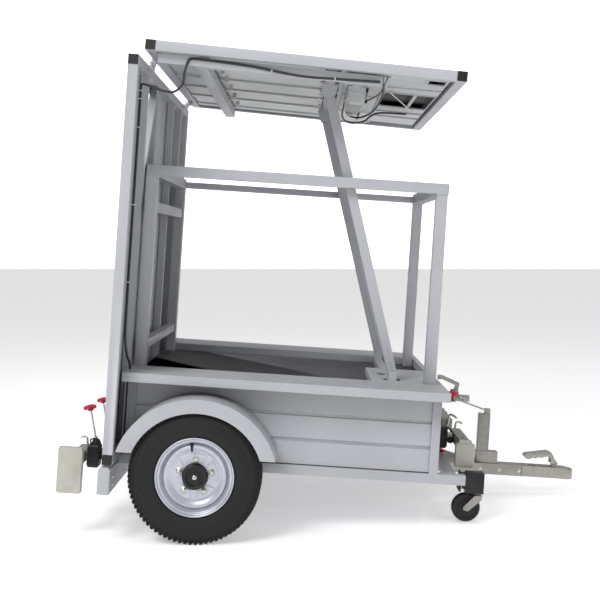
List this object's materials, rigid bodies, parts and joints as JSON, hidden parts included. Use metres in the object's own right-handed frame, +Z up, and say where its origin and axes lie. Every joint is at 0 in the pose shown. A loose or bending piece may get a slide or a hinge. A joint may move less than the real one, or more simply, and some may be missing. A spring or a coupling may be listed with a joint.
{
  "type": "folding arrow board trailer",
  "caption": "Single-axle trailer with an open cage and a two-part arrow board, upper half folded forward on props, swivel jacks and caster.",
  "frame": {"origin": "on the ground under the middle of the trailer's bounding box", "axes": "+X towards the coupling, +Z up, +Y to the trailer's left side, away from the viewer's side"},
  "size_m": [2.7899, 2.216, 2.4456],
  "materials": {
    "grey_paint": "satin light grey powder coat",
    "galvanised": "dull zinc",
    "tyre": "matte",
    "rim_silver": "silver lacquer",
    "black_plastic": "matte",
    "black_paint": "satin black",
    "red_plastic": "gloss",
    "cable": "matte",
    "silver_sheet": "mill",
    "sign_face": "matte",
    "steel": "zinc plated"
  },
  "bodies": {
    "trailer": {"axle_beam": "black_paint", "cable_loop": "cable", "cable_lower": "cable", "cage_frame": "grey_paint", "caster_bracket": "black_paint", "chassis_frame": "grey_paint", "coupling_head": "galvanised", "deck_plate": "grey_paint", "drawbar": "galvanised", "drawbar_post": "galvanised", "fender_far": "grey_paint", "fender_near": "grey_paint", "front_lock_bracket": "galvanised", "front_wall": "grey_paint", "jack_beam_front": "black_paint", "jack_beam_rear": "black_paint", "lower_board_frame": "grey_paint", "lower_board_sheet": "silver_sheet", "prop_base": "grey_paint", "rear_bar": "grey_paint", "side_wall_far": "grey_paint", "side_wall_near": "grey_paint", "top_shelf": "grey_paint", "tray_floor": "grey_paint"},
    "wheel_near": {"tyre_near": "tyre", "rim_near": "rim_silver", "hub_near": "black_paint"},
    "wheel_far": {"tyre_far": "tyre", "rim_far": "rim_silver", "hub_far": "black_paint"},
    "caster_fork": {"caster_fork": "galvanised"},
    "caster_wheel": {"caster_wheel": "black_plastic"},
    "upper_board": {"upper_board_frame": "grey_paint", "upper_sign_face": "sign_face", "upper_back_sheet": "silver_sheet", "upper_front_sheet": "silver_sheet", "hanging_beam": "grey_paint", "lamp_controller": "galvanised", "cable_upper": "cable"},
    "prop_near": {"prop_near": "grey_paint"},
    "prop_far": {"prop_far": "grey_paint"},
    "coupling_handle": {"coupling_handle": "galvanised"},
    "front_lever": {"front_lock_lever": "galvanised"},
    "front_knob": {"front_lock_knob": "red_plastic"},
    "jack_tube_rear_near": {"jack_tube_rear_near": "galvanised"},
    "jack_leg_rear_near": {"jack_leg_rear_near": "galvanised"},
    "jack_crank_rear_near": {"jack_crank_rear_near": "steel"},
    "jack_knob_rear_near": {"jack_knob_rear_near": "red_plastic"},
    "jack_tube_rear_far": {"jack_tube_rear_far": "galvanised"},
    "jack_leg_rear_far": {"jack_leg_rear_far": "galvanised"},
    "jack_crank_rear_far": {"jack_crank_rear_far": "steel"},
    "jack_knob_rear_far": {"jack_knob_rear_far": "red_plastic"},
    "jack_tube_front_near": {"jack_tube_front_near": "galvanised"},
    "jack_leg_front_near": {"jack_leg_front_near": "galvanised"},
    "jack_crank_front_near": {"jack_crank_front_near": "steel"},
    "jack_knob_front_near": {"jack_knob_front_near": "red_plastic"},
    "jack_tube_front_far": {"jack_tube_front_far": "galvanised"},
    "jack_leg_front_far": {"jack_leg_front_far": "galvanised"},
    "jack_crank_front_far": {"jack_crank_front_far": "steel"},
    "jack_knob_front_far": {"jack_knob_front_far": "red_plastic"}
  },
  "joints": [
    {"name": "wheel_near_spin", "type": "hinge", "parent": "trailer", "child": "wheel_near", "pos_m": [-0.69785, -1, 0.325], "axis": [0, 1, 0], "continuous": true},
    {"name": "wheel_far_spin", "type": "hinge", "parent": "trailer", "child": "wheel_far", "pos_m": [-0.69785, 1, 0.325], "axis": [0, 1, 0], "continuous": true},
    {"name": "caster_swivel", "type": "hinge", "parent": "trailer", "child": "caster_fork", "pos_m": [0.74061, -0.634, 0.07132], "axis": [0.0656, 0, 0.9978], "range_deg": [-30, 30]},
    {"name": "caster_wheel_spin", "type": "hinge", "parent": "caster_fork", "child": "caster_wheel", "pos_m": [0.67874, -0.634, 0.07539], "axis": [0, 1, 0], "continuous": true},
    {"name": "board_fold", "type": "hinge", "parent": "trailer", "child": "upper_board", "pos_m": [-0.93945, 0, 2.37325], "axis": [0, -1, 0], "range_deg": [0, 92]},
    {"name": "prop_near_hinge", "type": "hinge", "parent": "trailer", "child": "prop_near", "pos_m": [0.29919, -0.565, 0.76557], "axis": [0, -1, 0], "range_deg": [0, 36]},
    {"name": "prop_far_hinge", "type": "hinge", "parent": "trailer", "child": "prop_far", "pos_m": [0.29919, 0.565, 0.76557], "axis": [0, -1, 0], "range_deg": [0, 36]},
    {"name": "coupling_handle_lift", "type": "hinge", "parent": "trailer", "child": "coupling_handle", "pos_m": [1.28734, 0, 0.18652], "axis": [0, 1, 0], "range_deg": [0, 50]},
    {"name": "front_lever_turn", "type": "hinge", "parent": "trailer", "child": "front_lever", "pos_m": [0.64413, -0.455, 0.64669], "axis": [0.0656, 0, 0.9978], "range_deg": [-40, 40]},
    {"name": "front_knob_turn", "type": "hinge", "parent": "trailer", "child": "front_knob", "pos_m": [0.6281, -0.513, 0.61618], "axis": [0.0656, 0, 0.9978], "continuous": true},
    {"name": "jack_swing_rear_near", "type": "hinge", "parent": "trailer", "child": "jack_tube_rear_near", "pos_m": [-1.3242, -0.7, 0.36316], "axis": [0.9978, 0, -0.0656], "range_deg": [0, 90]},
    {"name": "jack_extend_rear_near", "type": "slide", "parent": "jack_tube_rear_near", "child": "jack_leg_rear_near", "axis": [0, -1, 0], "range_m": [0, 0.075]},
    {"name": "jack_crank_turn_rear_near", "type": "hinge", "parent": "jack_tube_rear_near", "child": "jack_crank_rear_near", "pos_m": [-1.3242, -0.5695, 0.36316], "axis": [0, -1, 0], "range_deg": [0, 5400]},
    {"name": "jack_knob_turn_rear_near", "type": "hinge", "parent": "trailer", "child": "jack_knob_rear_near", "pos_m": [-1.24965, -0.7, 0.44525], "axis": [-0.1752, 0, 0.9845], "continuous": true},
    {"name": "jack_swing_rear_far", "type": "hinge", "parent": "trailer", "child": "jack_tube_rear_far", "pos_m": [-1.3242, 0.7, 0.36316], "axis": [-0.9978, 0, 0.0656], "range_deg": [0, 90]},
    {"name": "jack_extend_rear_far", "type": "slide", "parent": "jack_tube_rear_far", "child": "jack_leg_rear_far", "axis": [0, 1, 0], "range_m": [0, 0.075]},
    {"name": "jack_crank_turn_rear_far", "type": "hinge", "parent": "jack_tube_rear_far", "child": "jack_crank_rear_far", "pos_m": [-1.3242, 0.5695, 0.36316], "axis": [0, 1, 0], "range_deg": [0, 5400]},
    {"name": "jack_knob_turn_rear_far", "type": "hinge", "parent": "trailer", "child": "jack_knob_rear_far", "pos_m": [-1.24965, 0.7, 0.44525], "axis": [-0.1752, 0, 0.9845], "continuous": true},
    {"name": "jack_swing_front_near", "type": "hinge", "parent": "trailer", "child": "jack_tube_front_near", "pos_m": [0.68719, -0.3, 0.37929], "axis": [0.9978, 0, -0.0656], "range_deg": [0, 90]},
    {"name": "jack_extend_front_near", "type": "slide", "parent": "jack_tube_front_near", "child": "jack_leg_front_near", "axis": [0, -1, 0], "range_m": [0, 0.09]},
    {"name": "jack_crank_turn_front_near", "type": "hinge", "parent": "jack_tube_front_near", "child": "jack_crank_front_near", "pos_m": [0.68719, -0.1695, 0.37929], "axis": [0, -1, 0], "range_deg": [0, 6480]},
    {"name": "jack_knob_turn_front_near", "type": "hinge", "parent": "trailer", "child": "jack_knob_front_near", "pos_m": [0.59355, -0.3, 0.32682], "axis": [0.0656, 0, 0.9978], "continuous": true},
    {"name": "jack_swing_front_far", "type": "hinge", "parent": "trailer", "child": "jack_tube_front_far", "pos_m": [0.68719, 0.3, 0.37929], "axis": [-0.9978, 0, 0.0656], "range_deg": [0, 90]},
    {"name": "jack_extend_front_far", "type": "slide", "parent": "jack_tube_front_far", "child": "jack_leg_front_far", "axis": [0, 1, 0], "range_m": [0, 0.09]},
    {"name": "jack_crank_turn_front_far", "type": "hinge", "parent": "jack_tube_front_far", "child": "jack_crank_front_far", "pos_m": [0.68719, 0.1695, 0.37929], "axis": [0, 1, 0], "range_deg": [0, 6480]},
    {"name": "jack_knob_turn_front_far", "type": "hinge", "parent": "trailer", "child": "jack_knob_front_far", "pos_m": [0.59355, 0.3, 0.32682], "axis": [0.0656, 0, 0.9978], "continuous": true}
  ],
  "couplings": [
    {"joint": "jack_crank_turn_rear_near", "follows": "jack_extend_rear_near", "rad_per_m": 1256.6},
    {"joint": "jack_crank_turn_rear_far", "follows": "jack_extend_rear_far", "rad_per_m": 1256.6},
    {"joint": "jack_crank_turn_front_near", "follows": "jack_extend_front_near", "rad_per_m": 1256.6},
    {"joint": "jack_crank_turn_front_far", "follows": "jack_extend_front_far", "rad_per_m": 1256.6},
    {"joint": "prop_far_hinge", "follows": "prop_near_hinge", "ratio": 1}
  ]
}
